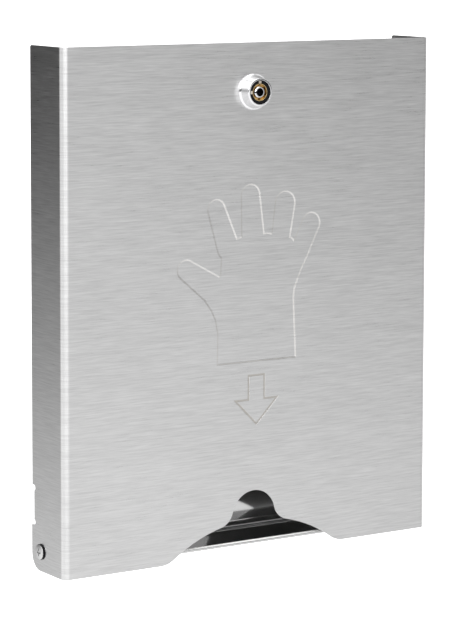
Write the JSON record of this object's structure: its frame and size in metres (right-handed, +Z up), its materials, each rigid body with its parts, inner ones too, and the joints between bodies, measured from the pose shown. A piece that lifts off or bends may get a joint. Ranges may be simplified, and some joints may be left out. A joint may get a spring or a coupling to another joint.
{
  "type": "disposable glove dispenser",
  "caption": "Wall-mounted sheet-metal glove dispenser with a hinged, key-locked front cover and an open dispensing slot at the foot.",
  "frame": {"origin": "centre of the four wall holes, on the back plate's wall face, at mid height of the cover", "axes": "+Z up, +Y into the wall, +X to the right as a person faces the dispenser"},
  "size_m": [0.2758, 0.0492, 0.32],
  "materials": {
    "brushed_sheet": "brushed stainless sheet, grain across the front",
    "plate_sheet": "brushed stainless sheet, duller than the cover",
    "lock_chrome": "bright chrome plate",
    "lock_black": "gloss black",
    "lock_brass": "machined brass",
    "zinc_plated": "zinc plated",
    "bright_fastener": "bright stainless fastener",
    "nylon": "natural nylon"
  },
  "bodies": {
    "base": {"back_plate": "plate_sheet", "catch_bracket": "zinc_plated", "hanger_pin_left": "bright_fastener", "hanger_pin_right": "bright_fastener", "pivot_nut_left": "zinc_plated", "pivot_nut_right": "zinc_plated", "pivot_screw_left": "bright_fastener", "pivot_screw_right": "bright_fastener", "pivot_washer_left": "nylon", "pivot_washer_right": "nylon"},
    "cover": {"front_cover": "brushed_sheet", "lock_housing": "lock_chrome", "lock_face_ring": "lock_black", "lock_washer": "zinc_plated", "lock_nut": "zinc_plated"},
    "lock_core": {"lock_plug": "lock_brass", "lock_post": "lock_chrome", "lock_pins": "lock_brass", "lock_cam": "zinc_plated", "cam_screw": "zinc_plated"}
  },
  "joints": [
    {"name": "cover_hinge", "type": "hinge", "parent": "base", "child": "cover", "pos_m": [0, -0.0126, -0.148], "axis": [1, 0, 0], "range_deg": [0, 75]},
    {"name": "lock_turn", "type": "hinge", "parent": "cover", "child": "lock_core", "pos_m": [0, -0.0416, 0.1295], "axis": [0, 1, 0], "range_deg": [0, 90]}
  ]
}
